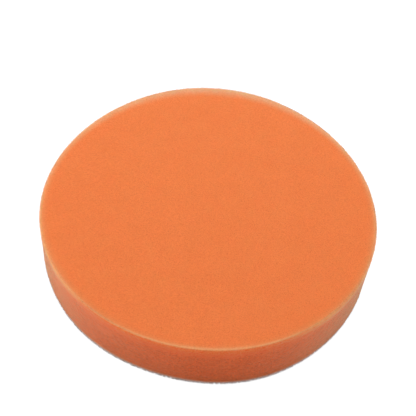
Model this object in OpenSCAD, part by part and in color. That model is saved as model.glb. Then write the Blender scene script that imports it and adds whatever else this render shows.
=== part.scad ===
// Flat foam polishing pad for a machine polisher, 6 inch class.
// The pad lies on its loop face: the origin is the centre of that face, and +Z points to the
// working face. Four layers are bonded into one: foam, hot-melt film, knitted ground and loops.

/* [Pad] */
// Diameter of the foam at its working face
pad_d = 150; // [75:1:200]
// Overall thickness, from the tips of the loops to the working face
pad_t = 26; // [15:0.5:50]

/* [Foam] */
// Radius of the ground rim around the working face
rim_r = 1.2; // [0.5:0.1:4]
// How much smaller the foam's diameter is at its back than at its working face
foam_taper = 1.0; // [0:0.1:4]
// Radius of the small break at the back edge of the foam
back_break_r = 0.4; // [0.2:0.1:1]

/* [Backing] */
// Thickness of the hot-melt film that bonds the fabric to the foam
film_t = 0.2; // [0.1:0.05:0.5]
// Thickness of the knitted ground of the loop fabric
ground_t = 0.6; // [0.3:0.1:1]
// Height of the loops that the backing plate's hooks catch
pile_t = 1.2; // [0.8:0.1:2.5]
// How far the fabric's cut edge lies inside the foam's back edge
fabric_inset = 0.1; // [0:0.1:2]
// How far the outermost loops stand inside the fabric's cut edge
pile_inset = 0.1; // [0:0.1:2]

/* [Hidden] */
$fn = 128;

face_r = pad_d / 2;
back_r = face_r - foam_taper / 2;
fabric_r = back_r - fabric_inset;
pile_r = fabric_r - pile_inset;

// Each layer starts where the one below it ends.
ground_z = pile_t;
film_z = ground_z + ground_t;
foam_z = film_z + film_t;
foam_t = pad_t - foam_z;

// A round layer of one thickness, from height z upwards.
module layer(r, t, z) {
    translate([0, 0, z])
        cylinder(r = r, h = t);
}

// Half of the foam's section. The rim around the working face and the break at the back edge
// are true arcs, and the wall runs straight between them.
module foam_section() {
    rim_z = foam_t - rim_r;
    polygon([
        [0, 0],
        [back_r - back_break_r, 0],
        [back_r - back_break_r, back_break_r],
        [back_r, back_break_r],
        [face_r, rim_z],
        [face_r - rim_r, rim_z],
        [face_r - rim_r, foam_t],
        [0, foam_t]
    ]);
    translate([face_r - rim_r, rim_z])
        intersection() {
            circle(r = rim_r);
            square(rim_r);
        }
    translate([back_r - back_break_r, back_break_r])
        intersection() {
            circle(r = back_break_r);
            translate([0, -back_break_r])
                square(back_break_r);
        }
}

// Open-cell polyurethane foam disc: the working part of the pad.
module foam_disc() {
    color([0.93, 0.50, 0.27])
        translate([0, 0, foam_z])
            rotate_extrude()
                foam_section();
}

// Hot-melt film, pressed between the foam's back and the knitted ground.
module adhesive_film() {
    color([0.94, 0.64, 0.48])
        layer(fabric_r, film_t, film_z);
}

// Knitted ground of the loop fabric, which carries the loops.
module loop_ground() {
    color([0.80, 0.74, 0.70])
        layer(fabric_r, ground_t, ground_z);
}

// Loop pile, drawn as the space that its loops fill.
module loop_pile() {
    color([0.72, 0.66, 0.63])
        layer(pile_r, pile_t, 0);
}

foam_disc();
adhesive_film();
loop_ground();
loop_pile();
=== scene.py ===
"""A flat foam polishing pad on a pale floor: the looks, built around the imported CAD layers.

The pad has four bonded layers. From the working face down they are the foam disc, the hot-melt
film, the knitted ground of the loop fabric, and the loops. Each one is rebuilt here as a detailed
mesh in the space that its CAD layer holds. Lengths are in metres, in the row frame.
"""

import math

import bpy
import numpy as np
from mathutils import Matrix, Vector, noise


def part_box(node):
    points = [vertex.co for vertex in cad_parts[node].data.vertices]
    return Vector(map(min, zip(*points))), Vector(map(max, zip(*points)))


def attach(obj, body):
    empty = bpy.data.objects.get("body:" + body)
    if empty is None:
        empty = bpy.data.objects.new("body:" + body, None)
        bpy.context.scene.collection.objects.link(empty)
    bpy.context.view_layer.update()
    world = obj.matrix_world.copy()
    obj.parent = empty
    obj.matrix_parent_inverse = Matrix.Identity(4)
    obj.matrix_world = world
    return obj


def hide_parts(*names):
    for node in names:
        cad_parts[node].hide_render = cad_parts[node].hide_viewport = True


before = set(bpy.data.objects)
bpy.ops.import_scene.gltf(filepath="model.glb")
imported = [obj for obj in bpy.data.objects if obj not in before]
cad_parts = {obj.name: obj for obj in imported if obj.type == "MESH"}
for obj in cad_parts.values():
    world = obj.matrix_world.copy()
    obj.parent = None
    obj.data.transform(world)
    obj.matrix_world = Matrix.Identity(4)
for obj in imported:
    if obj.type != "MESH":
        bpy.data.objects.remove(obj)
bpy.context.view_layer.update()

MM = 0.001
RANDOM_SEED = 26

# ---------------------------------------------------------------------------------------------
# Sizes, all worked out from the CAD layers
# ---------------------------------------------------------------------------------------------

FOAM_LO, FOAM_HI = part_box("foam_disc")
FILM_LO, FILM_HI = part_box("adhesive_film")
GROUND_LO, GROUND_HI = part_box("loop_ground")
PILE_LO, PILE_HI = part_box("loop_pile")

FACE_R = FOAM_HI.x
FABRIC_R = GROUND_HI.x
PILE_R = PILE_HI.x
PAD_CENTRE = Vector((0, 0, (PILE_LO.z + FOAM_HI.z) / 2))


def reach_at(node, low, high):
    """How far a CAD node reaches from the axis between two heights."""
    corners = [v.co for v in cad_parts[node].data.vertices if low <= v.co.z <= high]
    return max(math.hypot(c.x, c.y) for c in corners)


HAIR = 0.002 * MM  # heights this close count as the same
PAST_BREAK = 1 * MM  # the small break at the foam's back edge ends lower than this
RIM_R = FACE_R - reach_at("foam_disc", FOAM_HI.z - HAIR, FOAM_HI.z + HAIR)
BACK_R = reach_at("foam_disc", FOAM_LO.z, FOAM_LO.z + PAST_BREAK)
BACK_BREAK = BACK_R - reach_at("foam_disc", FOAM_LO.z - HAIR, FOAM_LO.z + HAIR)

# Die-cut foam springs back unevenly. This gives the number of lobes around the pad, how far they
# stand out, and the direction that one of them faces, in degrees from +X.
LOBES = ((3, 0.43 * MM, -36), (4, 0.26 * MM, 7))
# These are full at the pad's back and fade towards its face.
BACK_LOBES = ((3, 0.40 * MM, 36), (5, 0.30 * MM, 12), (7, 0.13 * MM, -25))
ROUND_SHARE = 0.4  # the part of the radius that the lobes leave alone


# ---------------------------------------------------------------------------------------------
# Mesh helpers
# ---------------------------------------------------------------------------------------------

NOISE_SHIFT = (7.3, 3.1, 5.7)  # how far one seed's noise lies from the next seed's
PORE_SHIFT = (2.9, 8.3, 4.1)
PORE_REACH = 0.75  # from a cell's middle to its wall, as a share of the cell
STRAND_SIDES = 3
ACROSS_STRAND = (0.31, 0.22, 0.93)  # a direction that strands hardly ever run in
TINY = 1e-12  # keeps a length of zero out of a division


def add_mesh(name, points, faces, material, smooth=True):
    """A mesh object at the origin, from points and an array of faces, or a list of such arrays."""
    mesh = bpy.data.meshes.new(name)
    groups = faces if isinstance(faces, list) else [faces]
    corners = np.concatenate([f.ravel() for f in groups])
    sizes = np.concatenate([np.full(len(f), f.shape[1]) for f in groups])
    mesh.vertices.add(len(points))
    mesh.vertices.foreach_set("co", np.asarray(points, np.float32).ravel())
    mesh.loops.add(len(corners))
    mesh.loops.foreach_set("vertex_index", corners.astype(np.int32))
    mesh.polygons.add(len(sizes))
    starts = np.concatenate([[0], np.cumsum(sizes)[:-1]])
    mesh.polygons.foreach_set("loop_start", starts.astype(np.int32))
    mesh.polygons.foreach_set("use_smooth", np.full(len(sizes), smooth))
    mesh.update(calc_edges=True)
    mesh.validate()
    mesh.materials.append(material)
    piece = bpy.data.objects.new(name, mesh)
    bpy.context.scene.collection.objects.link(piece)
    return piece


def add_attribute(piece, name, values):
    """Stores one number per vertex, which the piece's material reads."""
    attribute = piece.data.attributes.new(name, "FLOAT", "POINT")
    attribute.data.foreach_set("value", np.asarray(values, np.float32))


def smoothstep(low, high, x):
    """Rises smoothly from 0 at low to 1 at high."""
    t = np.clip((np.asarray(x, float) - low) / (high - low), 0, 1)
    return t * t * (3 - 2 * t)


def noise_at(points, size, seed):
    """Smooth noise from -1 to 1, whose lumps are about size across."""
    shift = Vector([seed * s for s in NOISE_SHIFT])
    return np.array([noise.noise(Vector(p) / size + shift) for p in points])


def pores_at(points, size, seed):
    """1 in the middle of a cell and 0 at its walls, with cells about size across."""
    shift = Vector([seed * s for s in PORE_SHIFT])
    near = np.array([noise.voronoi(Vector(p) / size + shift)[0][0] for p in points])
    return 1 - np.clip(near / PORE_REACH, 0, 1)


def lobed(lobes, angle):
    """How far the lobes stand out at an angle."""
    return sum(height * np.cos(n * (angle - math.radians(turn))) for n, height, turn in lobes)


def out_of_round(points):
    """Moves points outward or inward as the pad's uneven outline does, most at its edge."""
    radius = np.hypot(points[..., 0], points[..., 1])
    angle = np.arctan2(points[..., 1], points[..., 0])
    near_back = 1 - np.clip(points[..., 2] / FOAM_HI.z, 0, 1)
    swell = lobed(LOBES, angle) + near_back * lobed(BACK_LOBES, angle)
    gain = 1 + swell * smoothstep(ROUND_SHARE, 1.0, radius / FACE_R) / FACE_R
    moved = np.array(points)
    moved[..., :2] *= gain[..., None]
    return moved


def disc_grid(radius, cells):
    """A square grid bent into a disc with cells of equal area: its points, faces and outer ring."""
    side = np.linspace(-1, 1, cells + 1)
    a, b = (m.ravel() for m in np.meshgrid(side, side, indexing="ij"))
    wide = np.abs(a) > np.abs(b)
    far = np.where(wide, a, b)
    ratio = np.divide(np.where(wide, b, a), far, out=np.zeros_like(far), where=far != 0)
    angle = np.where(wide, math.pi / 4 * ratio, math.pi / 2 - math.pi / 4 * ratio)
    points = radius * np.stack([far * np.cos(angle), far * np.sin(angle)], axis=1)
    index = np.arange((cells + 1) ** 2).reshape(cells + 1, cells + 1)
    quads = np.stack([index[:-1, :-1], index[1:, :-1], index[1:, 1:], index[:-1, 1:]], axis=-1)
    ring = np.concatenate([index[-1, :-1], index[:0:-1, -1], index[0, :0:-1], index[:-1, 0]])
    return points, quads.reshape(-1, 4), ring


def band_faces(rings):
    """Quads between rings of vertex indices, each ring as long as the next."""
    bands = []
    for inner, outer in zip(rings, rings[1:]):
        bands.append(np.stack([inner, outer, np.roll(outer, -1), np.roll(inner, -1)], axis=-1))
    return np.concatenate(bands)


def fan_faces(ring, middle):
    """Triangles from a ring of vertex indices to the one in its middle. They face down."""
    return np.stack([ring, np.full(len(ring), middle), np.roll(ring, -1)], axis=-1)


def lathe_rings(profile, angles, first_index):
    """Points of a ring at each (radius, height) of the profile, and the rings' vertex indices."""
    rows = []
    rings = []
    for k, (r, z) in enumerate(profile):
        height = np.full(len(angles), z)
        rows.append(np.stack([r * np.cos(angles), r * np.sin(angles), height], axis=1))
        rings.append(first_index + k * len(angles) + np.arange(len(angles)))
    return np.concatenate(rows), rings


def strands(paths, radius):
    """Tubes along an array of paths (strand, step, xyz): points and faces. Radius may taper."""
    count, steps, _ = paths.shape
    along = np.gradient(paths, axis=1)
    along /= np.linalg.norm(along, axis=2, keepdims=True) + TINY
    side = np.cross(along, np.array(ACROSS_STRAND))
    side /= np.linalg.norm(side, axis=2, keepdims=True) + TINY
    other = np.cross(along, side)
    turn = 2 * np.pi * np.arange(STRAND_SIDES) / STRAND_SIDES
    width = np.broadcast_to(radius, (count, steps))[..., None, None]
    ring = (
        np.cos(turn)[None, None, :, None] * side[:, :, None]
        + np.sin(turn)[None, None, :, None] * other[:, :, None]
    )
    points = (paths[:, :, None] + width * ring).reshape(-1, 3)
    index = np.arange(count * steps * STRAND_SIDES).reshape(count, steps, STRAND_SIDES)
    near, far = index[:, :-1], index[:, 1:]
    quads = np.stack([near, np.roll(near, -1, axis=2), np.roll(far, -1, axis=2), far], axis=-1)
    caps = np.concatenate([index[:, 0, ::-1], index[:, -1]])
    return points, [quads.reshape(-1, 4), caps]


# ---------------------------------------------------------------------------------------------
# Material helpers
# ---------------------------------------------------------------------------------------------

NOISE_LOW, NOISE_HIGH = 0.3, 0.7  # the noise texture seldom leaves this range
DEEPEN_RED, DEEPEN_BLUE = 0.6, 1.3  # powers: darker foam loses less red and more blue than green


class Nodes:
    """A material's node tree, with short calls that add a node and wire its inputs."""

    def __init__(self, name):
        self.material = bpy.data.materials.new(name)
        self.material.use_nodes = True
        self.tree = self.material.node_tree
        self.tree.nodes.clear()

    def add(self, kind, settings=None, **inputs):
        """A node with its settings, and its inputs by name, each a socket or a plain value."""
        node = self.tree.nodes.new(kind)
        for key, value in (settings or {}).items():
            setattr(node, key, value)
        for key, value in inputs.items():
            self.plug(node.inputs[key.replace("_", " ")], value)
        return node

    def plug(self, socket, value):
        if isinstance(value, bpy.types.NodeSocket):
            self.tree.links.new(value, socket)
        else:
            socket.default_value = value

    def place(self):
        """Where a point is in the row frame, in metres."""
        return self.add("ShaderNodeTexCoord").outputs["Object"]

    def axis(self, name):
        """How far along one axis of the row frame a point is, in metres."""
        return self.add("ShaderNodeSeparateXYZ", Vector=self.place()).outputs[name]

    def attribute(self, name):
        return self.add("ShaderNodeAttribute", {"attribute_name": name}).outputs["Fac"]

    def noise(self, size, detail=2.0, roughness=0.5):
        node = self.add(
            "ShaderNodeTexNoise",
            Vector=self.place(),
            Scale=1 / size,
            Detail=detail,
            Roughness=roughness,
        )
        return node.outputs["Fac"]

    def vary(self, size, low, high, detail=2.0, roughness=0.5):
        """Noise spread from low to high, whose lumps are about size across."""
        return self.remap(self.noise(size, detail, roughness), NOISE_LOW, NOISE_HIGH, low, high)

    def cells(self, size, place):
        """0 in the middle of a cell and up to about 1 at its walls."""
        return self.add("ShaderNodeTexVoronoi", Vector=place, Scale=1 / size).outputs["Distance"]

    def math(self, operation, a, b=0.0):
        node = self.add("ShaderNodeMath", {"operation": operation})
        self.plug(node.inputs[0], a)
        self.plug(node.inputs[1], b)
        return node.outputs[0]

    def product(self, first, *others):
        for value in others:
            first = self.math("MULTIPLY", first, value)
        return first

    def remap(self, value, low, high, to_low=0.0, to_high=1.0):
        """A value's place between low and high, moved to between to_low and to_high."""
        node = self.add("ShaderNodeMapRange", {"clamp": True})
        for socket, setting in zip(node.inputs, (value, low, high, to_low, to_high)):
            self.plug(socket, setting)
        return node.outputs["Result"]

    def mix(self, factor, a, b, blend="MIX"):
        """Two colours mixed. The node's inputs 6 and 7 and its output 2 are those for colours."""
        node = self.add("ShaderNodeMix", {"data_type": "RGBA", "blend_type": blend})
        self.plug(node.inputs["Factor"], factor)
        self.plug(node.inputs[6], a)
        self.plug(node.inputs[7], b)
        return node.outputs[2]

    def brighten(self, colour, value):
        """The colour times a number that varies over the surface."""
        grey = self.add("ShaderNodeCombineColor", Red=value, Green=value, Blue=value)
        return self.mix(1.0, colour, grey.outputs[0], "MULTIPLY")

    def deepen(self, colour, value):
        """The colour times a number that varies, so that it turns redder where it is darker."""
        tint = self.add(
            "ShaderNodeCombineColor",
            Red=self.math("POWER", value, DEEPEN_RED),
            Green=value,
            Blue=self.math("POWER", value, DEEPEN_BLUE),
        )
        return self.mix(1.0, colour, tint.outputs[0], "MULTIPLY")

    def bump(self, height, distance, strength):
        node = self.add("ShaderNodeBump", Height=height, Distance=distance, Strength=strength)
        return node.outputs["Normal"]

    def finish(self, colour, roughness, normal=None, **plain):
        """The Principled shader and the output. Plain values stay on the shader's own sockets."""
        shader = self.add("ShaderNodeBsdfPrincipled")
        self.plug(shader.inputs["Base Color"], colour)
        self.plug(shader.inputs["Roughness"], roughness)
        if normal is not None:
            self.plug(shader.inputs["Normal"], normal)
        for key, value in plain.items():
            shader.inputs[key.replace("_", " ")].default_value = value
        return self.output(shader)

    def output(self, shader):
        """Makes the shader the material's surface."""
        self.add("ShaderNodeOutputMaterial", Surface=shader.outputs[0])
        return self.material


# ---------------------------------------------------------------------------------------------
# Materials
# ---------------------------------------------------------------------------------------------

FACE_ORANGE = (0.86, 0.215, 0.060, 1)
BORDER_ORANGE = (0.83, 0.248, 0.078, 1)
# Painted shade: the wall's colour is redder and deeper than the face's, as the foam looks on its
# shaded side.
WALL_SHADE_ORANGE = (0.90, 0.147, 0.038, 1)
# The rim's pale line: the paler fuzz of the cut edge, with a painted highlight where it catches the
# light.
RIM_TAN = (0.85, 0.385, 0.165, 1)
RIM_BACK_SHEEN = (0.76, 0.41, 0.22, 1)  # painted sheen: the rim's colour towards the pad's back, which is seen at a grazing angle
STRUT_PEACH = (0.95, 0.42, 0.22, 1)
FOAM_LIGHT_ORANGE = (0.97, 0.35, 0.18, 1)  # painted light: the orange that light from the foam gives the film and the fabric's top and cut edge
GROUND_PALE = (0.88, 0.74, 0.67, 1)
YARN_PALE = (0.85, 0.70, 0.63, 1)

CELL = 0.42 * MM  # a cell of the open foam, wall to wall
BIG_CELL = 2.6 * CELL  # from one open, deeper cell to the next
WARP_SIZE = 2.5 * MM  # the pattern of cells is bent by noise of this size
WARP_REACH = 0.5 * MM  # and by up to this in each direction
FACE_CONTRAST = 0.8  # the working face is skived smooth, and the wall is cut rougher, so the wall's painted cell shade is deeper
WALL_CONTRAST = 2.0
RIM_WALL_GLOW = 1.32  # painted light: the rim's colour is brightened by this where it turns down into the wall, as the wall's top is
# Painted light: the wall is brightened between two depths below the working face, by a factor, as
# light from above shines through its upper part.
WALL_TOP_GLOWS = ((14 * MM, 6 * MM, 1.08), (6 * MM, 1 * MM, 1.32))


def foam_cells(n):
    """1 on the struts between cells and 0 inside a cell, and the painted shade of the bigger open
    cells.
    """
    warp = n.add("ShaderNodeTexNoise", Vector=n.place(), Scale=1 / WARP_SIZE, Detail=1.0)
    drift = n.add("ShaderNodeVectorMath", {"operation": "MULTIPLY_ADD"})
    n.plug(drift.inputs[0], warp.outputs["Color"])
    n.plug(drift.inputs[1], (WARP_REACH,) * 3)
    n.plug(drift.inputs[2], n.place())
    place = drift.outputs[0]
    strut = n.remap(n.cells(CELL, place), 0.12, 0.62)
    # Painted shade, deeper in the middle of the bigger open cells.
    hole = n.remap(n.cells(BIG_CELL, place), 0.10, 0.28, 0.78, 1.0)
    return strut, hole


def foam_base(n, wall):
    """The foam's colour by place: working face, border, wall and rim, with painted shade, light and
    sheen.
    """
    top_glows = []
    for low, high, gain in WALL_TOP_GLOWS:
        top_glows.append(n.remap(n.axis("Z"), FOAM_HI.z - low, FOAM_HI.z - high, 1.0, gain))
    mottle = n.vary(1.6 * MM, 0.88, 1.12, detail=3, roughness=0.65)
    # The wall's colour: painted shade, with painted light towards its top and random mottle.
    painted_wall_colour = n.deepen(n.brighten(WALL_SHADE_ORANGE, n.product(*top_glows)), mottle)
    base = n.mix(wall, FACE_ORANGE, painted_wall_colour)
    base = n.mix(n.attribute("border"), base, BORDER_ORANGE)
    # Painted sheen: the rim grows paler towards the pad's back, +Y, which is seen at a grazing
    # angle.
    rim_colour = n.mix(n.remap(n.axis("Y"), 0.0, FACE_R), RIM_TAN, RIM_BACK_SHEEN)
    rim_colour = n.brighten(rim_colour, n.remap(wall, 0, 1, 1.0, RIM_WALL_GLOW))
    rim = n.product(n.attribute("rim"), n.vary(2.5 * MM, 0.8, 1.15))
    return n.mix(rim, base, rim_colour)


def foam_material():
    """Open-cell foam: cells drawn in painted shade and bump, and soft light under a dusty surface.
    """
    n = Nodes("open_cell_foam")
    wall = n.attribute("wall")
    strut, hole = foam_cells(n)
    patch = n.vary(9 * MM, 0.975, 1.025, detail=3)
    grain = n.vary(0.9 * MM, 0.95, 1.05, detail=3, roughness=0.6)
    # Painted shade: the foam is darker inside its cells, where the hollows are.
    cell_shade = n.remap(strut, 0.0, 1.0, 0.76, 1.06)
    tone = n.product(patch, grain, cell_shade, hole)
    contrast = n.remap(wall, 0, 1, FACE_CONTRAST, WALL_CONTRAST)
    colour = n.deepen(foam_base(n, wall), n.math("POWER", tone, contrast))
    dust = n.noise(0.3 * MM)
    height = n.math("ADD", n.product(strut, 0.7), n.product(dust, 0.3))
    return n.finish(
        colour,
        roughness=0.95,
        normal=n.bump(height, distance=0.12 * MM, strength=0.8),
        Specular_IOR_Level=0.15,
        Sheen_Weight=0.8,
        Sheen_Roughness=0.35,
        Sheen_Tint=(1.0, 1.0, 0.68, 1),
        Subsurface_Weight=0.5,
        Subsurface_Radius=(1.0, 0.35, 0.2),
        Subsurface_Scale=7 * MM,
    )


def strut_material():
    """Torn cell walls, paler than the foam because light passes through them."""
    n = Nodes("torn_cell_struts")
    colour = n.brighten(STRUT_PEACH, n.vary(1.5 * MM, 0.9, 1.1, detail=1))
    return n.finish(
        colour, roughness=0.8, Specular_IOR_Level=0.2, Sheen_Weight=0.5, Sheen_Roughness=0.4
    )


def film_material():
    """Melted and pressed film, painted in the foam's orange light, patchy in tone and shine."""
    n = Nodes("hot_melt_film")
    colour = n.brighten(FOAM_LIGHT_ORANGE, n.vary(4 * MM, 0.85, 1.1, detail=3))
    shine = n.vary(2 * MM, 0.25, 0.5)
    normal = n.bump(n.noise(1.2 * MM), distance=0.05 * MM, strength=0.6)
    return n.finish(colour, roughness=shine, normal=normal, Specular_IOR_Level=0.45)


def ground_material():
    """A knit, drawn as chevrons of stitches in columns. Its top is painted orange with the foam's
    light.
    """
    n = Nodes("knitted_ground")
    off_wale = n.math("PINGPONG", n.axis("X"), WALE / 2)
    chevron = n.math("ADD", n.axis("Y"), off_wale)
    stitch = n.math("SINE", n.product(chevron, 2 * math.pi / COURSE))
    fibre = n.noise(0.25 * MM, detail=3, roughness=0.7)
    tone = n.product(
        n.remap(off_wale, 0.2 * WALE, 0.5 * WALE, 1.04, 0.72),
        n.remap(stitch, -1, 0, 0.72, 1.04),
        n.remap(fibre, NOISE_LOW, NOISE_HIGH, 0.86, 1.1),
    )
    # Painted light: the foam's orange light on the top of the ground.
    foam_light_share = n.remap(n.axis("Z"), GROUND_LO.z + 0.12 * MM, GROUND_LO.z + 0.3 * MM, 0, 0.85)
    colour = n.brighten(n.mix(foam_light_share, GROUND_PALE, FOAM_LIGHT_ORANGE), tone)
    height = n.math("ADD", n.remap(stitch, -1, 1), n.product(fibre, 0.4))
    return n.finish(
        colour,
        roughness=0.85,
        normal=n.bump(height, distance=0.15 * MM, strength=0.8),
        Specular_IOR_Level=0.25,
        Sheen_Weight=0.3,
        Sheen_Roughness=0.5,
    )


def yarn_material(name, foam_light_share):
    """Yarn whose top is painted with a share of the foam's orange light."""
    n = Nodes(name)
    tone = n.product(n.vary(6 * MM, 0.93, 1.05), n.vary(0.5 * MM, 0.85, 1.1))
    # Painted light: the foam's orange light on the yarn's top, fading downward.
    melt = n.remap(n.axis("Z"), GROUND_LO.z - 0.5 * MM, GROUND_LO.z + 0.1 * MM, 0, foam_light_share)
    colour = n.brighten(n.mix(melt, YARN_PALE, FOAM_LIGHT_ORANGE), tone)
    return n.finish(
        colour, roughness=0.5, Specular_IOR_Level=0.4, Sheen_Weight=0.4, Sheen_Roughness=0.35
    )


# ---------------------------------------------------------------------------------------------
# The foam disc
# ---------------------------------------------------------------------------------------------

FACE_CELLS = 222  # grid cells across the working face, about 0.67 mm each
ARC_STEPS = 7
WALL_STEPS = 42
BREAK_STEPS = 2
UNDER_RINGS = 5
BORDER = 4.5 * MM  # the paler zone inside the rim
ROLL_WIDTH = 5.5 * MM  # the face rolls off over this width on either side of the pad's radius
ROLL_OFF = 0.3 * MM
UNLEVEL = 0.4 * MM  # the foam is thicker by this at its high side, as sliced foam is
HIGH_SIDE = 30  # the direction of that side, in degrees from +X

# Painted sheen: the rim's pale line is narrowest and its haze faintest at -Y, the pad's front;
# both grow towards the back, seen at grazing angles, and so do the struts. Angles are in degrees.
SHEEN_LINE_TURN = -5
SHEEN_HAZE_TURN = 6
LINE_WIDTH = 0.9 * MM  # the pale line along the rim, at its narrowest
LINE_FADE = (0.1 * MM, 0.8 * MM)  # how far past its place the line starts and ends its fade
SHEEN_HAZE = (0.12, 0.6)  # the painted sheen haze's share of the colour at the front, and what it gains elsewhere


def face_sink(points):
    """How far a point sinks, as the face rolls off at its rim and isn't quite level.

    The wall follows the face, less and less towards the back.
    """
    x, y, z = points.T
    roll = ROLL_OFF * smoothstep(FACE_R - ROLL_WIDTH, FACE_R + ROLL_WIDTH, np.hypot(x, y))
    high_side = math.radians(HIGH_SIDE)
    slope = -UNLEVEL * (x * math.cos(high_side) + y * math.sin(high_side)) / FACE_R
    return (roll + slope) * smoothstep(FOAM_LO.z, FOAM_HI.z, z)


def back_share_at(angle, turn=0):
    """How far round towards the pad's back a place lies: 0 at -Y and 1 at +Y, turned clockwise by
    some degrees.
    """
    return 0.5 + 0.5 * np.sin(angle + math.radians(turn))


def haze_reach(angle):
    """How far down the wall the painted sheen haze and the struts reach, from 0.5 mm at the front.
    """
    return (0.5 + 3.2 * smoothstep(0.0, 0.25, back_share_at(angle))) * MM


def rim_share(points):
    """The rim's share of a point's colour: a pale line of fuzz and painted highlight, and a haze of
    painted sheen.
    """
    radius = np.hypot(points[:, 0], points[:, 1])
    angle = np.arctan2(points[:, 1], points[:, 0])
    drop = FOAM_HI.z - points[:, 2]
    across = radius + drop  # this grows across the face and on down the wall
    back_share = back_share_at(angle, SHEEN_LINE_TURN)
    front_peak = (1 - back_share) ** 8  # near 1 only at the pad's front, -Y
    line_at = FACE_R + (0.6 - 2.0 * front_peak) * MM  # at the front the line lies further in on the face
    # The line widens inward as painted sheen, a little away from the front and a lot towards the
    # back.
    inner = line_at - LINE_WIDTH - (1.5 * (1 - front_peak) ** 3 + back_share + 4.2 * back_share**4) * MM
    inside = smoothstep(inner, line_at - (0.1 + 0.5 * back_share**4) * MM, across)
    line = 1 - smoothstep(line_at + LINE_FADE[0], line_at + LINE_FADE[1], across)
    strength = SHEEN_HAZE[0] + SHEEN_HAZE[1] * smoothstep(0.03, 0.20, back_share_at(angle, SHEEN_HAZE_TURN))
    haze = strength * (1 - smoothstep(0.8 * MM, 1.0 * MM + haze_reach(angle), drop))
    return inside * np.maximum(line, haze)


def foam_profile():
    """(radius, height, outward share of the normal) down the rim, the wall and the break."""
    wall_top, wall_bottom = FOAM_HI.z - RIM_R, FOAM_LO.z + BACK_BREAK
    rows = []
    for a in np.linspace(0, math.pi / 2, ARC_STEPS + 1)[1:]:
        r = FACE_R - RIM_R + RIM_R * math.sin(a)
        rows.append((r, wall_top + RIM_R * math.cos(a), math.sin(a)))
    for t in np.linspace(0, 1, WALL_STEPS + 1)[1:]:
        r = FACE_R + (BACK_R - FACE_R) * t
        rows.append((r, wall_top + (wall_bottom - wall_top) * t, 1.0))
    for a in np.linspace(0, math.pi / 2, BREAK_STEPS + 1)[1:]:
        r = BACK_R - BACK_BREAK + BACK_BREAK * math.cos(a)
        rows.append((r, wall_bottom - BACK_BREAK * math.sin(a), math.cos(a)))
    return rows


def foam_shell():
    """The foam's plain shape: points, faces, and the outward share of the normal at each point."""
    face, face_quads, edge = disc_grid(FACE_R - RIM_R, FACE_CELLS)
    face = np.column_stack([face, np.full(len(face), FOAM_HI.z)])
    angles = np.arctan2(face[edge, 1], face[edge, 0])
    profile = foam_profile()
    skirt, rings = lathe_rings([(r, z) for r, z, _ in profile], angles, len(face))
    under_r = np.linspace(BACK_R - BACK_BREAK, 0, UNDER_RINGS + 2)[1:-1]
    under_profile = [(r, FOAM_LO.z) for r in under_r]
    under, under_rings = lathe_rings(under_profile, angles, len(face) + len(skirt))
    points = np.concatenate([face, skirt, under, [[0, 0, FOAM_LO.z]]])
    quads = np.concatenate([face_quads, band_faces([edge, *rings, *under_rings])])
    fan = fan_faces(under_rings[-1], len(points) - 1)
    skirt_outward = np.repeat([share for _, _, share in profile], len(angles))
    outward = np.concatenate([np.zeros(len(face)), skirt_outward, np.zeros(len(under) + 1)])
    return points, [quads, fan], outward


def foam_relief(points):
    """How far the foam's surface stands off its plain shape: wide lumps, pores and fine grit."""
    lumps = 0.10 * MM * noise_at(points, 16 * MM, 1) + 0.05 * MM * noise_at(points, 5 * MM, 2)
    pits = -0.11 * MM * pores_at(points, 1.35 * MM, 3)
    grit = 0.035 * MM * noise_at(points, 0.8 * MM, 4)
    return lumps + pits + grit


def build_foam(material):
    """The foam disc, closed all round. Its back stays flat, where the film holds it."""
    points, faces, outward = foam_shell()
    radius = np.hypot(points[:, 0], points[:, 1])
    radial = points[:, :2] / (radius[:, None] + TINY)
    normal = np.column_stack([radial * outward[:, None], np.sqrt(1 - outward**2)])
    free = points[:, 2] >= FOAM_LO.z + 1.5 * BACK_BREAK
    moved = out_of_round(points + normal * (foam_relief(points) * free)[:, None])
    moved[:, 2] -= face_sink(points)

    foam = add_mesh("foam_disc_cells", moved, faces, material)
    turned = np.arcsin(outward) / (math.pi / 2)
    near_top = points[:, 2] > FOAM_HI.z - 1.3 * RIM_R
    border = smoothstep(FACE_R - BORDER, FACE_R - 0.6 * MM, radius) * (outward < 0.3)
    add_attribute(foam, "wall", smoothstep(0.25, 0.75, turned))
    add_attribute(foam, "rim", rim_share(points))
    add_attribute(foam, "border", border * near_top)
    return foam


# ---------------------------------------------------------------------------------------------
# Torn struts along the foam's cut edges
# ---------------------------------------------------------------------------------------------

RIM_STRUTS = 9000
WALL_STRUTS = 6000
STRUT_R = (0.040 * MM, 0.030 * MM, 0.010 * MM)
STRUT_STEPS = (-0.3, 0.4, 1.0)  # its points, from inside the foam to its tip, as shares of length


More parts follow.
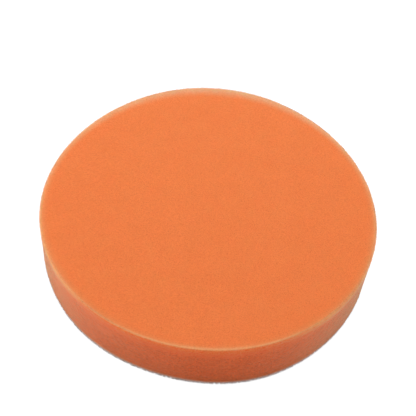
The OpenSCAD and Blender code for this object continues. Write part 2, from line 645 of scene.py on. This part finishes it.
def build_struts(material):
    """Short ends of broken cell walls, which stand out of the rim and thin out down the wall."""
    rng = np.random.default_rng(RANDOM_SEED)
    count = RIM_STRUTS + WALL_STRUTS
    on_rim = np.arange(count) < RIM_STRUTS
    angle = rng.uniform(0, 2 * np.pi, count)
    back_share = back_share_at(angle)
    turned = np.where(on_rim, rng.uniform(0.15, 1.0, count), 1.0) * np.pi / 2
    wall_height = FOAM_HI.z - RIM_R - FOAM_LO.z
    drop = np.where(on_rim, 0, rng.exponential(1.0, count) * haze_reach(angle))
    drop = np.minimum(drop, 0.9 * wall_height)
    r = FACE_R - RIM_R + RIM_R * np.sin(turned) - drop / wall_height * (FACE_R - BACK_R)
    z = FOAM_HI.z - RIM_R + RIM_R * np.cos(turned) - drop
    around = np.stack([np.cos(angle), np.sin(angle)], axis=1)
    root = np.column_stack([around * r[:, None], z])
    root[:, 2] -= face_sink(root)
    out = np.column_stack([around * np.sin(turned)[:, None], np.cos(turned)])
    lean = out + rng.normal(0, 0.5, (count, 3))
    lean /= np.linalg.norm(lean, axis=1, keepdims=True)
    length = rng.uniform(0.15, 0.5, count) * (0.8 + 0.6 * back_share) * MM
    steps = np.array(STRUT_STEPS)
    paths = root[:, None] + (lean * length[:, None])[:, None] * steps[None, :, None]
    paths[:, 2] += rng.normal(0, 0.05 * MM, (count, 3))
    kept = rng.random(count) < np.where(on_rim, 0.35 + 0.65 * back_share, back_share)
    points, faces = strands(out_of_round(paths[kept]), STRUT_R)
    return add_mesh("foam_edge_struts", points, faces, material)


# ---------------------------------------------------------------------------------------------
# The hot-melt film
# ---------------------------------------------------------------------------------------------

FILM_STEPS = 1280  # around the film, fine enough for its uneven edge
# The film's section: mm outward from its edge, and height from -1 underneath to 1 on top
FILM_SECTION = (
    (-25.0, 1.0),
    (-2.0, 1.0),
    (-0.25, 1.0),
    (0.0, 0.6),
    (0.08, 0.0),
    (0.0, -0.6),
    (-0.25, -1.0),
    (-2.0, -1.0),
    (-25.0, -1.0),
)
SQUEEZE_ZONE = 2.0  # mm in from the edge. The film stays as it was further in.


def build_film(material):
    """A thin film whose edge was squeezed out unevenly when it was pressed."""
    angles = np.linspace(0, 2 * np.pi, FILM_STEPS, endpoint=False)
    around = np.column_stack([np.cos(angles), np.sin(angles), np.zeros(FILM_STEPS)])
    squeeze = 0.16 * noise_at(around, 0.035, 5) + 0.10 * noise_at(around, 0.012, 6)
    middle = (FILM_LO.z + FILM_HI.z) / 2
    half = (FILM_HI.z - FILM_LO.z) / 2
    rows = []
    for outward, level in FILM_SECTION:
        share = smoothstep(-SQUEEZE_ZONE, 0.0, outward)
        row = around * (FILM_HI.x + (outward + squeeze * share) * MM)[:, None]
        row[:, 2] = middle + level * half
        rows.append(row)
    points = np.concatenate([*rows, [[0, 0, FILM_HI.z], [0, 0, FILM_LO.z]]])
    rings = [k * FILM_STEPS + np.arange(FILM_STEPS) for k in range(len(rows))]
    over = fan_faces(rings[0], len(points) - 2)[:, ::-1]
    under = fan_faces(rings[-1], len(points) - 1)
    faces = [band_faces(rings), np.concatenate([over, under])]
    return add_mesh("adhesive_film_pressed", out_of_round(points), faces, material)


# ---------------------------------------------------------------------------------------------
# The knitted ground of the loop fabric
# ---------------------------------------------------------------------------------------------

WALE = 1.25 * MM  # from one column of loops to the next
COURSE = 1.05 * MM  # from one row of loops to the next
STEPS_ACROSS_WALE = 4
STEPS_ALONG_WALE = 90
RIB_HEIGHT = 0.09 * MM
LAST_CHORD = 0.9999  # the outermost columns lie at this share of the radius, and so have a length


def build_ground(material):
    """The knit as ribs along Y, one to a wale, on a disc with a thin cut edge."""
    columns = int(round(2 * FABRIC_R / (WALE / STEPS_ACROSS_WALE)))
    rows = STEPS_ALONG_WALE
    x = FABRIC_R * (np.linspace(-1, 1, columns + 1) * LAST_CHORD)
    chord = np.sqrt(FABRIC_R**2 - x**2)
    gx = np.repeat(x[:, None], rows + 1, axis=1)
    gy = chord[:, None] * np.linspace(-1, 1, rows + 1)[None]
    rib = 0.5 + 0.5 * np.cos(2 * np.pi * gx / WALE)
    under = np.stack([gx, gy, GROUND_LO.z + RIB_HEIGHT * (1 - rib)], axis=-1)
    over = np.stack([gx, gy, np.full_like(gx, GROUND_HI.z)], axis=-1)
    size = (columns + 1) * (rows + 1)
    index = np.arange(size).reshape(columns + 1, rows + 1)
    down = np.stack([index[:-1, :-1], index[:-1, 1:], index[1:, 1:], index[1:, :-1]], axis=-1)
    up = down[..., ::-1] + size
    edge = np.concatenate([index[:-1, 0], index[-1, :-1], index[:0:-1, -1], index[0, :0:-1]])
    rim = band_faces([edge + size, edge])
    points = np.concatenate([under.reshape(-1, 3), over.reshape(-1, 3)])
    faces = np.concatenate([down.reshape(-1, 4), up.reshape(-1, 4), rim])
    return add_mesh("loop_ground_knit", out_of_round(points), faces, material)


FRAY_COUNT = 1500
FRAY_STEPS = 3
FRAY_R = 0.03 * MM
FRAY_ROOT = 0.3 * MM  # how far inside the cut edge a filament starts
FRAY_FLOOR = 0.1 * MM  # no filament hangs lower


def build_fray(material):
    """Cut filaments that stand out of the edge of the fabric."""
    rng = np.random.default_rng(RANDOM_SEED + 1)
    angle = rng.uniform(0, 2 * np.pi, FRAY_COUNT)
    around = np.stack([np.cos(angle), np.sin(angle)], axis=1)
    z = rng.uniform(GROUND_LO.z, GROUND_HI.z, FRAY_COUNT)
    root = np.column_stack([around * (FABRIC_R - FRAY_ROOT), z])
    aim = np.column_stack([around, np.zeros(FRAY_COUNT)])
    aim += rng.normal(0, 0.35, (FRAY_COUNT, 3))
    length = rng.uniform(0.3, 0.65, FRAY_COUNT) * MM
    droop = rng.uniform(0.0, 0.35, FRAY_COUNT) * MM
    t = np.linspace(0, 1, FRAY_STEPS + 1)
    paths = root[:, None] + aim[:, None] * (length[:, None] * t)[..., None]
    paths[..., 2] -= droop[:, None] * t**2
    paths[..., 2] = np.clip(paths[..., 2], FRAY_FLOOR, FILM_LO.z)
    points, faces = strands(out_of_round(paths), FRAY_R)
    return add_mesh("loop_ground_fray", points, faces, material)


# ---------------------------------------------------------------------------------------------
# The loop pile
# ---------------------------------------------------------------------------------------------

LOOP_STEPS = 6
YARN_R = 0.12 * MM
LOOP_PIECES = 3  # so that no piece has too many faces for the tools that read its mesh
LOOP_MARGIN = 0.6 * MM  # no whole loop stands nearer than this to the edge of the pile
ROOT_DEPTH = 0.10 * MM  # how far inside the ground a loop's or filament's root is
SAME_LEAN = 0.8  # the share of loops that lean to the same side


def loop_places():
    """Each stitch's wale, and where it is across and along the knit. Every other wale is offset."""
    wales, courses = int(PILE_R / WALE), int(PILE_R / COURSE)
    grid = np.meshgrid(np.arange(-wales, wales + 1), np.arange(-courses, courses + 1))
    wale, course = (numbers.ravel() for numbers in grid)
    gx, gy = wale * WALE, (course + 0.5 * (wale % 2)) * COURSE
    inside = np.hypot(gx, gy) < PILE_R - LOOP_MARGIN
    return wale[inside], gx[inside], gy[inside]


def build_loops(material):
    """One leaning loop of yarn for each stitch of the knit. The wales take turns in the pieces."""
    rng = np.random.default_rng(RANDOM_SEED + 2)
    wale, gx, gy = loop_places()
    count = len(wale)
    turn = rng.normal(0, 0.6, count)
    reach = rng.uniform(0.32, 0.50, count) * MM
    along = np.column_stack([np.sin(turn), np.cos(turn), np.zeros(count)])
    centre = np.column_stack([gx, gy, np.full(count, GROUND_LO.z + ROOT_DEPTH)])
    centre[:, :2] += rng.normal(0, 0.12 * MM, (count, 2))
    tilt = rng.uniform(0.3, 0.8, count) * np.where(rng.random(count) < SAME_LEAN, 1, -1) * MM
    lean = np.column_stack([np.cos(turn), -np.sin(turn)]) * tilt[:, None]
    drop = rng.uniform(0.85, 1.12, count) * (GROUND_LO.z - YARN_R - PILE_LO.z)
    t = np.linspace(0, 1, LOOP_STEPS + 1)
    bow = np.sin(np.pi * t) ** 0.75  # down from the ground and back up
    swell = 1 + 0.55 * np.sin(np.pi * t)  # a loop is wider than its foot
    sweep = -np.cos(np.pi * t) * swell
    paths = centre[:, None] + along[:, None] * (reach[:, None] * sweep)[..., None]
    paths[..., :2] += lean[:, None] * bow[None, :, None]
    paths[..., 2] -= drop[:, None] * bow
    paths[..., 2] = np.maximum(paths[..., 2], PILE_LO.z + YARN_R)
    thickness = YARN_R * rng.uniform(0.8, 1.1, (count, 1))
    paths = out_of_round(paths)
    pieces = []
    for number in range(LOOP_PIECES):
        own = wale % LOOP_PIECES == number
        points, faces = strands(paths[own], thickness[own])
        pieces.append(add_mesh(f"loop_pile_{number + 1}", points, faces, material))
    return pieces


EDGE_FILAMENTS = 10000
FILAMENT_R = 0.06 * MM
FRINGE_WIDTH = 1.5 * MM  # the filaments start within this of the edge, most of them close to it
# How far out a filament has splayed and how far down it has come, at its root, middle and tip
FILAMENT_STEPS = ((0.0, 0.0), (0.7, 0.55), (1.0, 1.0))


def build_edge_pile(material):
    """Filaments of the loops that were cut through at the edge, spread into a dense fringe."""
    rng = np.random.default_rng(RANDOM_SEED + 3)
    angle = rng.uniform(0, 2 * np.pi, EDGE_FILAMENTS)
    around = np.stack([np.cos(angle), np.sin(angle)], axis=1)
    root_r = PILE_R - FRINGE_WIDTH * rng.random(EDGE_FILAMENTS) ** 3
    root_z = GROUND_LO.z + ROOT_DEPTH
    root = np.column_stack([around * root_r[:, None], np.full(EDGE_FILAMENTS, root_z)])
    splay = rng.normal(0.15, 0.08, EDGE_FILAMENTS) * MM
    aside = rng.normal(0, 0.35, EDGE_FILAMENTS) * MM
    sideways = np.column_stack([-around[:, 1], around[:, 0]])
    drop = rng.uniform(0.9, 0.99, EDGE_FILAMENTS) * (root_z - FILAMENT_R)
    paths = np.repeat(root[:, None], len(FILAMENT_STEPS), axis=1)
    for step, (out, down) in enumerate(FILAMENT_STEPS):
        paths[:, step, :2] += around * (out * splay)[:, None] + sideways * (out * aside)[:, None]
        paths[:, step, 2] -= down * drop
    points, faces = strands(out_of_round(paths), FILAMENT_R)
    return add_mesh("loop_pile_edge", points, faces, material)


# ---------------------------------------------------------------------------------------------
# Stage, lights and camera
# ---------------------------------------------------------------------------------------------

CAMERA_DISTANCE = 0.560  # from the pad's centre
CAMERA_ELEVATION = math.radians(52.0)
CAMERA_ROLL = math.radians(5.5)
CAMERA_LENS_MM = 106.5
CAMERA_SENSOR_MM = 36
CAMERA_AIM_ABOVE = 0.0085  # the view's centre is this far above the pad's, across the view


def add_camera():
    """Looks along +Y from above, turned a little about its own axis."""
    data = bpy.data.cameras.new("camera")
    data.lens = CAMERA_LENS_MM
    data.sensor_width = CAMERA_SENSOR_MM
    camera = bpy.data.objects.new("camera", data)
    bpy.context.scene.collection.objects.link(camera)
    roll = Matrix.Rotation(CAMERA_ROLL, 3, "Z")
    back = Vector((0, -math.cos(CAMERA_ELEVATION), math.sin(CAMERA_ELEVATION)))
    up = back.to_track_quat("Z", "Y").to_matrix() @ roll @ Vector((0, 1, 0))
    eye = PAD_CENTRE + back * CAMERA_DISTANCE
    aim = PAD_CENTRE + up * CAMERA_AIM_ABOVE
    tilt = (eye - aim).to_track_quat("Z", "Y").to_matrix() @ roll
    camera.matrix_world = Matrix.Translation(eye) @ tilt.to_4x4()
    bpy.context.scene.camera = camera


def add_softbox(name, place, width, height, power):
    """A rectangular lamp that faces the pad. Power is in watts."""
    data = bpy.data.lights.new(name, "AREA")
    data.shape = "RECTANGLE"
    data.size, data.size_y = width, height
    data.energy = power
    lamp = bpy.data.objects.new(name, data)
    lamp.location = place
    lamp.rotation_mode = "QUATERNION"
    lamp.rotation_quaternion = (PAD_CENTRE - Vector(place)).to_track_quat("-Z", "Y")
    bpy.context.scene.collection.objects.link(lamp)


FLOOR_R = 2.0
SWEEP_R = 1.0
SWEEP_TOP = 4.0
SWEEP_STEPS = 12
FLOOR_SIDES = 96
FLOOR_MIDDLE = 1 * MM  # the radius of the small hole in the floor's middle, under the pad
SHADOW_DISC_R = PILE_R - 1.6 * MM  # painted shadow: the floor is dark inside this, under the pad
FLOOR_SHADE = (0.25, 0.25, 0.25, 1)
FLOOR_GLOW = 0.94
# The floor's glow inside the painted shadow under the pad.
SHADOW_DISC_GLOW = 0.1
CARD_WHITE = (0.8, 0.8, 0.8, 1)
CARD_DEPTH = 0.2 * MM  # the bounce card lies this far below the floor


def floor_material():
    """White, with some light of its own, so that the pad's shadow on it is only faint."""
    n = Nodes("pale_floor")
    shade = n.add("ShaderNodeBsdfDiffuse", Color=FLOOR_SHADE)
    away = n.add("ShaderNodeVectorMath", {"operation": "LENGTH"}, Vector=n.place())
    # Painted shadow: the glow is turned down inside a disc under the pad.
    clear = n.math("GREATER_THAN", away.outputs["Value"], SHADOW_DISC_R)
    glow_here = n.remap(clear, 0, 1, SHADOW_DISC_GLOW, FLOOR_GLOW)
    glow = n.add("ShaderNodeEmission", Color=(1, 1, 1, 1), Strength=glow_here)
    both = n.add("ShaderNodeAddShader")
    n.plug(both.inputs[0], shade.outputs[0])
    n.plug(both.inputs[1], glow.outputs[0])
    return n.output(both)


def add_floor():
    """A floor that sweeps up all round, for the camera, and a card whose bounce lights the pad."""
    profile = [(FLOOR_MIDDLE, 0.0)]
    for a in np.linspace(0, math.pi / 2, SWEEP_STEPS + 1):
        profile.append((FLOOR_R + SWEEP_R * math.sin(a), SWEEP_R * (1 - math.cos(a))))
    profile.append((FLOOR_R + SWEEP_R, SWEEP_TOP))
    angles = np.linspace(0, 2 * math.pi, FLOOR_SIDES, endpoint=False)
    points, rings = lathe_rings(profile, angles, 0)
    floor = add_mesh("floor", points, band_faces(rings), floor_material())
    floor.visible_diffuse = False
    floor.visible_glossy = False
    floor.visible_shadow = False

    corners = FLOOR_R * np.array([[-1, -1, 0], [1, -1, 0], [1, 1, 0], [-1, 1, 0]])
    corners[:, 2] = -CARD_DEPTH
    card_white = Nodes("bounce_card").finish(CARD_WHITE, roughness=1.0)
    card = add_mesh("bounce_card", corners, np.array([[0, 1, 2, 3]]), card_white, smooth=False)
    card.visible_camera = False


# Where on the way from the nadir up to the zenith, and how bright the sky is there
SKY_LEVELS = ((0.0, 0.0), (0.5, 0.03), (1.0, 0.40))


def add_world():
    """Plain soft light from all round, stronger from above than from below."""
    world = bpy.data.worlds.new("studio")
    world.use_nodes = True
    tree = world.node_tree
    place = tree.nodes.new("ShaderNodeTexCoord")
    split = tree.nodes.new("ShaderNodeSeparateXYZ")
    height = tree.nodes.new("ShaderNodeMapRange")
    height.inputs["From Min"].default_value = -1
    ramp = tree.nodes.new("ShaderNodeValToRGB")
    while len(ramp.color_ramp.elements) < len(SKY_LEVELS):
        ramp.color_ramp.elements.new(0.5)
    for element, (position, level) in zip(ramp.color_ramp.elements, SKY_LEVELS):
        element.position = position
        element.color = (level, level, level, 1)
    tree.links.new(place.outputs["Generated"], split.inputs[0])
    tree.links.new(split.outputs["Z"], height.inputs["Value"])
    tree.links.new(height.outputs["Result"], ramp.inputs["Fac"])
    tree.links.new(ramp.outputs["Color"], tree.nodes["Background"].inputs["Color"])
    bpy.context.scene.world = world


# Name, place, width, height and power
SOFTBOXES = (
    ("back_top", (0.0, 0.60, 0.80), 1.0, 0.8, 6.6),
    ("left_side", (-0.80, 0.05, 0.40), 0.6, 0.6, 3.6),
    ("right_side", (0.80, 0.15, 0.40), 0.6, 0.6, 1.95),
    ("front_fill", (0.0, -0.80, 0.50), 0.8, 0.6, 1.2),
)


def add_lights():
    for softbox in SOFTBOXES:
        add_softbox(*softbox)


# ---------------------------------------------------------------------------------------------
# Build
# ---------------------------------------------------------------------------------------------

LOOP_FOAM_LIGHT = 0.1  # the share of painted orange light from the foam that the loops take at their roots
EDGE_FOAM_LIGHT = 0.7  # and the share painted on the cut edge of the fabric


def put(piece, *nodes, slot):
    """The piece rides on the pad and stands for its CAD layers, which it hides. Its slot is not
    used.
    """
    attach(piece, "root")
    if nodes:
        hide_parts(*nodes)


def main():
    bpy.context.scene.view_settings.view_transform = "Standard"
    add_camera()
    add_world()
    add_lights()
    add_floor()

    foam = build_foam(foam_material())
    put(foam, "foam_disc", slot="foam")
    put(build_struts(strut_material()), slot="foam")
    film = build_film(film_material())
    put(film, "adhesive_film", slot="hot_melt_film")
    ground = build_ground(ground_material())
    put(ground, "loop_ground", slot="knit_ground")
    loops = build_loops(yarn_material("loop_yarn", LOOP_FOAM_LIGHT))
    edge_yarn = yarn_material("cut_edge_yarn", EDGE_FOAM_LIGHT)
    fray = build_fray(edge_yarn)
    edge_pile = build_edge_pile(edge_yarn)
    put(loops[0], "loop_pile", slot="loop_yarn")
    for piece in (*loops[1:], fray, edge_pile):
        put(piece, slot="loop_yarn")


main()
